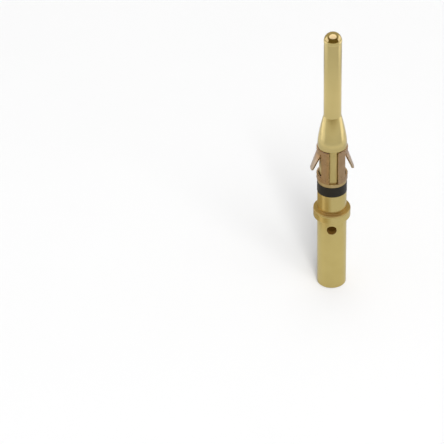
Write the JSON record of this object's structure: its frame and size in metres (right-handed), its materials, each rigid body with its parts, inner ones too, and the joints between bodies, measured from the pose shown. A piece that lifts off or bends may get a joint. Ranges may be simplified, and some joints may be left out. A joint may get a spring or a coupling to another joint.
{
  "type": "crimp contact",
  "caption": "Turned pin contact for a crimped wire: domed pin, tapered shoulder, split retention clip with tines in a groove, black band, stop collar and hollow crimp barrel.",
  "frame": {"origin": "centre of the crimp barrel's mouth, on the surface that the contact stands on", "axes": "+Z along the contact's axis towards the pin's tip, -Y out of the inspection hole"},
  "size_m": [0.004, 0.0034, 0.0268],
  "materials": {
    "gold_plate": "satin gold plating over turned copper alloy",
    "clip_alloy": "bare stamped beryllium copper, semi bright",
    "band_ink": "black marking ink, satin"
  },
  "bodies": {
    "contact": {"contact_body": "gold_plate", "colour_band": "band_ink"},
    "clip": {"retention_clip": "clip_alloy"}
  },
  "joints": [
    {"name": "clip_turn", "type": "hinge", "parent": "contact", "child": "clip", "pos_m": [0, 0, 0.0134], "axis": [0, 0, 1], "continuous": true}
  ]
}
